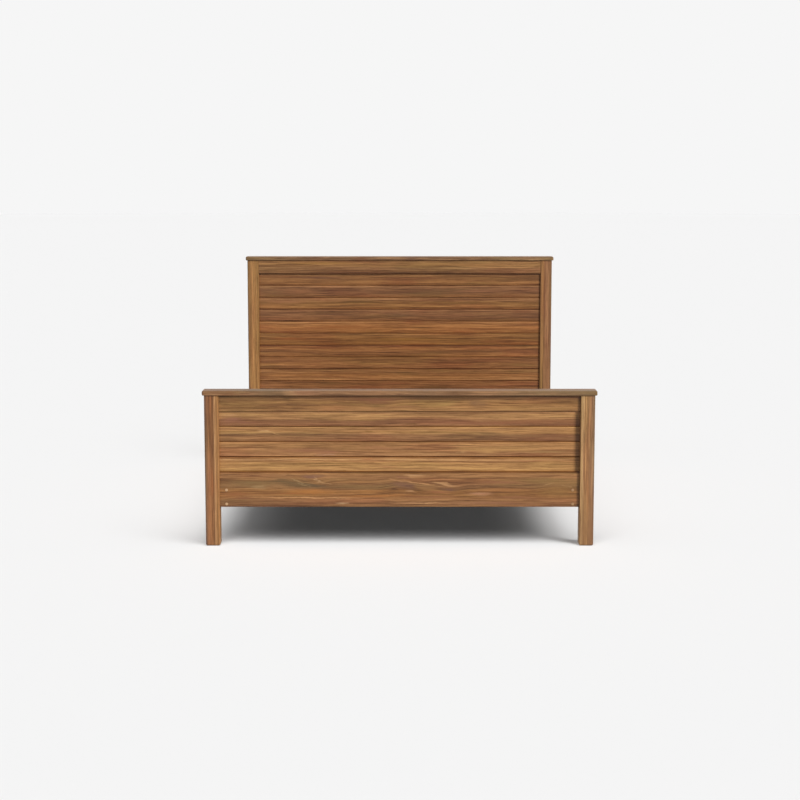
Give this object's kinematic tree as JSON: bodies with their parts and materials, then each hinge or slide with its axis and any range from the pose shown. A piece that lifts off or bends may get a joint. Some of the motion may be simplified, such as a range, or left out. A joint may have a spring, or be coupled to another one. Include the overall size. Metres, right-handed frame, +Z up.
{
  "type": "wooden bed frame",
  "caption": "Solid wood bed frame with boarded headboard and footboard, capped tops, side rails, slats on a centre beam and screw-adjustable centre legs.",
  "frame": {"origin": "on the floor in the middle of the frame, at the middle of the base of its bounding box", "axes": "+Y from the footboard to the headboard, along the mattress; +Z up; +X to the right for someone standing at the foot and facing the headboard"},
  "size_m": [1.646, 2.185, 1.112],
  "materials": {
    "timber_posts": "satin lacquer, golden and tawny strips with long dark streaks",
    "timber_caps": "satin lacquer, tawny brown",
    "timber_rails": "satin lacquer, tawny with dark figure",
    "timber_foot_boards": "satin lacquer, golden brown with long streaks",
    "timber_head_boards": "satin lacquer, reddish brown with long streaks",
    "plug_wood": "sanded plug, paler than the rail",
    "softwood": "planed, unfinished pine",
    "zinc_steel": "zinc plated",
    "brass": "plain turned brass",
    "black_plastic": "fine matte moulded"
  },
  "bodies": {
    "bed_frame": {"foot_post_left": "timber_posts", "foot_post_right": "timber_posts", "head_post_left": "timber_posts", "head_post_right": "timber_posts", "foot_cap": "timber_caps", "head_cap": "timber_caps", "foot_top_rail": "timber_rails", "foot_bottom_rail": "timber_rails", "head_top_rail": "timber_rails", "head_bottom_rail": "timber_rails", "foot_plank_1": "timber_foot_boards", "foot_plank_2": "timber_foot_boards", "foot_plank_3": "timber_foot_boards", "foot_plank_4": "timber_foot_boards", "head_plank_01": "timber_head_boards", "head_plank_02": "timber_head_boards", "head_plank_03": "timber_head_boards", "head_plank_04": "timber_head_boards", "head_plank_05": "timber_head_boards", "head_plank_06": "timber_head_boards", "head_plank_07": "timber_head_boards", "head_plank_08": "timber_head_boards", "head_plank_09": "timber_head_boards", "head_plank_10": "timber_head_boards", "head_plank_11": "timber_head_boards", "rail_plug_left_lower": "plug_wood", "rail_plug_left_upper": "plug_wood", "rail_plug_right_lower": "plug_wood", "rail_plug_right_upper": "plug_wood", "side_rail_left": "timber_rails", "side_rail_right": "timber_rails", "slat_ledger_left": "softwood", "slat_ledger_right": "softwood", "corner_block_foot_left": "timber_rails", "corner_block_foot_right": "timber_rails", "corner_block_head_left": "timber_rails", "corner_block_head_right": "timber_rails", "slat_01": "softwood", "slat_02": "softwood", "slat_03": "softwood", "slat_04": "softwood", "slat_05": "softwood", "slat_06": "softwood", "slat_07": "softwood", "slat_08": "softwood", "slat_09": "softwood", "slat_10": "softwood", "slat_11": "softwood", "slat_12": "softwood", "centre_beam": "softwood", "beam_hanger_foot": "zinc_steel", "beam_hanger_head": "zinc_steel", "centre_leg_front": "timber_rails", "leg_insert_front": "brass", "centre_leg_rear": "timber_rails", "leg_insert_rear": "brass"},
    "glide_pad_front": {"glide_pad_front": "black_plastic"},
    "glide_stem_front": {"glide_stem_front": "zinc_steel"},
    "glide_pad_rear": {"glide_pad_rear": "black_plastic"},
    "glide_stem_rear": {"glide_stem_rear": "zinc_steel"}
  },
  "joints": [
    {"name": "front_glide_travel", "type": "slide", "parent": "bed_frame", "child": "glide_pad_front", "axis": [0, 0, 1], "range_m": [-0.0101, 0.0076]},
    {"name": "front_glide_screw", "type": "hinge", "parent": "glide_pad_front", "child": "glide_stem_front", "pos_m": [0, -0.2, 0.03], "axis": [0, 0, 1], "range_deg": [-2880, 2160]},
    {"name": "rear_glide_travel", "type": "slide", "parent": "bed_frame", "child": "glide_pad_rear", "axis": [0, 0, 1], "range_m": [-0.0101, 0.0076]},
    {"name": "rear_glide_screw", "type": "hinge", "parent": "glide_pad_rear", "child": "glide_stem_rear", "pos_m": [0, 0.2, 0.03], "axis": [0, 0, 1], "range_deg": [-2880, 2160]}
  ],
  "couplings": [
    {"joint": "front_glide_travel", "follows": "front_glide_screw", "m_per_rad": 0.00019894},
    {"joint": "rear_glide_travel", "follows": "rear_glide_screw", "m_per_rad": 0.00019894}
  ]
}
